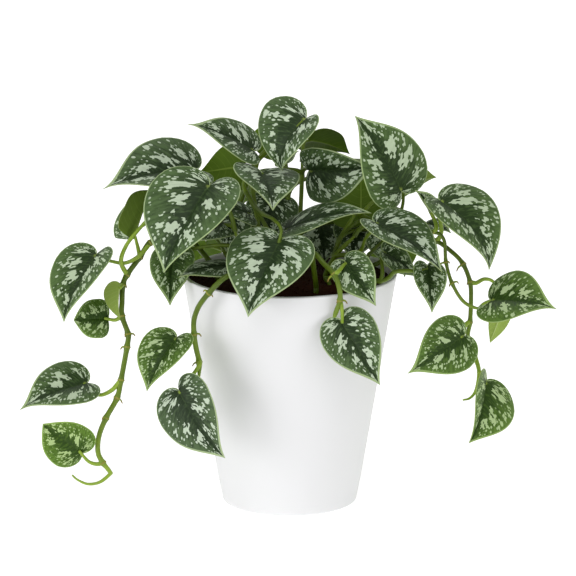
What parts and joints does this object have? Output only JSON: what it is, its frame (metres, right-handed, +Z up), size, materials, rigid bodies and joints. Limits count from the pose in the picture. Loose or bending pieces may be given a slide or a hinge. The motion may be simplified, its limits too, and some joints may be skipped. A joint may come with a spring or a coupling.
{
  "type": "potted trailing house plant",
  "caption": "Satin pothos in a white tapered pot: heart-shaped leaves on trailing stems that arch over the rim, rooted in dark soil.",
  "frame": {"origin": "middle of the pot's foot, on the surface that the pot stands on", "axes": "+Z up, -Y towards the side that faces the viewer, +X to the viewer's right; the longest extent is along X"},
  "size_m": [0.3228, 0.1951, 0.2512],
  "materials": {
    "pot": "white, smooth, satin",
    "soil": "dark brown potting soil, matt and crumbly",
    "foliage": "satin leaf, dark green with silver marks above, fresh green below"
  },
  "bodies": {
    "root": {"pot": "pot", "soil": "soil", "stem_left_trailing": "foliage", "stem_front_left": "foliage", "stem_front_right": "foliage", "stem_right_trailing": "foliage", "stem_right_thin": "foliage", "stem_right_low": "foliage", "stem_mound_left": "foliage", "stem_mound_top_left": "foliage", "stem_mound_centre": "foliage", "stem_mound_top": "foliage", "stem_mound_top_right": "foliage", "stem_mound_right": "foliage", "stem_mound_front": "foliage", "stem_back_left": "foliage", "stem_back_trailing": "foliage", "stem_back_middle": "foliage", "stem_back_right": "foliage", "stem_back_far_right": "foliage"}
  },
  "joints": []
}
